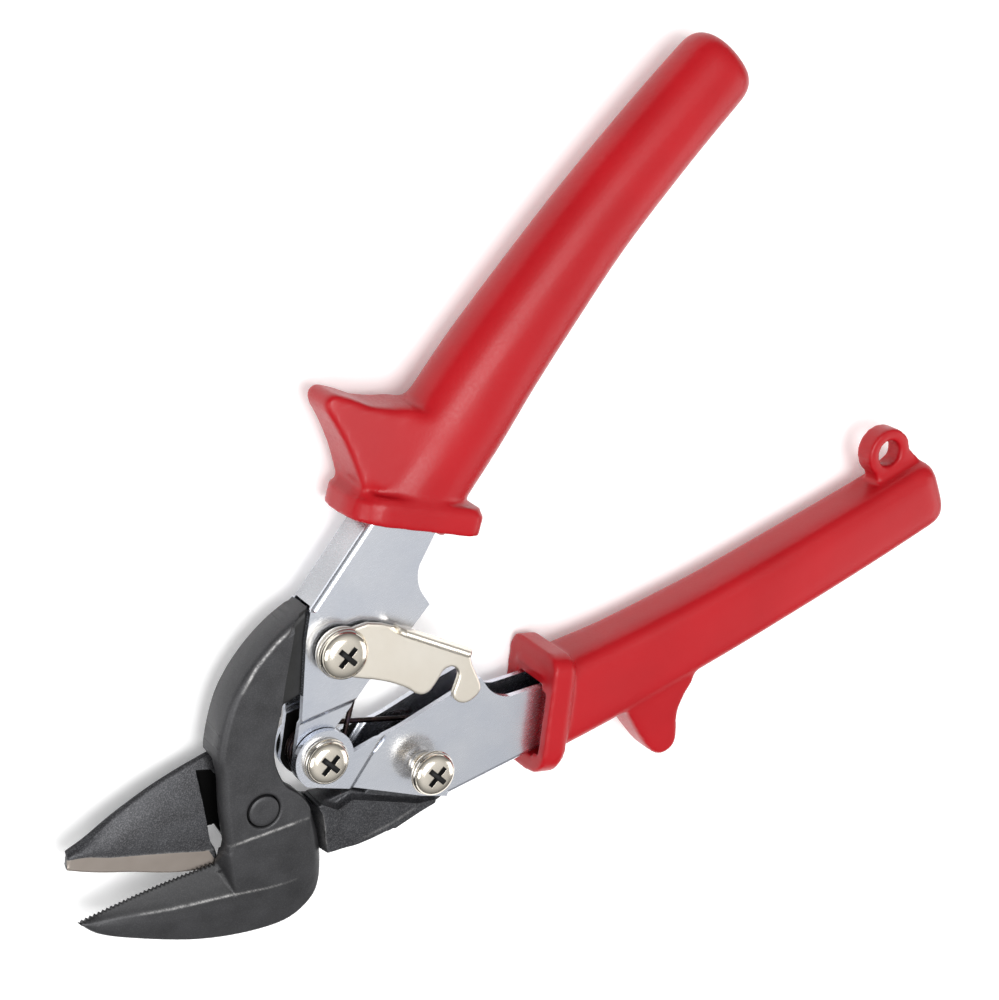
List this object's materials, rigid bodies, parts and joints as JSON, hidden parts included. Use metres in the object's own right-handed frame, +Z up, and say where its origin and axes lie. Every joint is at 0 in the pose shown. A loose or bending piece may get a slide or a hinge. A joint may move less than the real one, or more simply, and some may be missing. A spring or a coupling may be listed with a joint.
{
  "type": "aviation snips",
  "caption": "Aviation snips with compound-leverage handles, offset blades, vinyl grips, opening spring and swing latch, lying open on their back.",
  "frame": {"origin": "on the main pivot's axis, at the end face of its bolt and nut, in the plane that the snips lie on", "axes": "+X from the jaws to the handles along the centre line, +Y towards the upper handle, +Z up, out of the latch side"},
  "size_m": [0.2251, 0.1443, 0.0221],
  "materials": {
    "zinc_steel": "bright zinc plate, satin",
    "nickel_steel": "bright nickel plate",
    "black_steel": "forged, black oxide, worn on its creases",
    "spring_steel": "oil-tempered wire, dark",
    "red_vinyl": "dipped vinyl, satin gloss"
  },
  "bodies": {
    "lower_handle": {"lower_handle_channel": "zinc_steel", "lower_grip": "red_vinyl", "lower_tang_stud": "nickel_steel", "lower_tang_washer": "nickel_steel", "lower_tang_nut": "nickel_steel", "handle_pivot_screw": "nickel_steel", "handle_pivot_bush": "zinc_steel", "handle_pivot_washer": "nickel_steel", "handle_pivot_nut": "nickel_steel", "opening_spring": "spring_steel"},
    "upper_handle": {"upper_handle_channel": "zinc_steel", "upper_grip": "red_vinyl", "upper_tang_screw": "nickel_steel", "latch_bush": "nickel_steel", "upper_tang_washer": "nickel_steel", "upper_tang_nut": "nickel_steel", "opening_spring_upper_leg": "spring_steel"},
    "lower_blade": {"lower_jaw_blade": "black_steel", "main_pivot_bolt": "black_steel", "main_pivot_washer": "zinc_steel", "main_pivot_nut": "zinc_steel"},
    "upper_blade": {"upper_jaw_blade": "black_steel"},
    "latch": {"latch_plate": "nickel_steel"}
  },
  "joints": [
    {"name": "handle_pivot", "type": "hinge", "parent": "lower_handle", "child": "upper_handle", "pos_m": [0.01678, 0, 0.0102], "axis": [0, 0, 1], "range_deg": [-31.1, 0], "stiffness_Nm_per_rad": 0.6, "springref_deg": 17.19},
    {"name": "lower_blade_pivot", "type": "hinge", "parent": "upper_handle", "child": "lower_blade", "pos_m": [0.03325, 0.0192, 0.0102], "axis": [0, 0, 1], "range_deg": [0, 7.3]},
    {"name": "main_pivot", "type": "hinge", "parent": "lower_blade", "child": "upper_blade", "pos_m": [0, 0, 0.0102], "axis": [0, 0, 1], "range_deg": [0, 16.9]},
    {"name": "latch_pivot", "type": "hinge", "parent": "upper_handle", "child": "latch", "pos_m": [0.03325, 0.0192, 0.0102], "axis": [0, 0, 1], "range_deg": [-18.3, 30]}
  ],
  "couplings": [
    {"joint": "lower_blade_pivot", "follows": "handle_pivot", "ratio": -0.2309},
    {"joint": "main_pivot", "follows": "handle_pivot", "ratio": -0.5381}
  ]
}
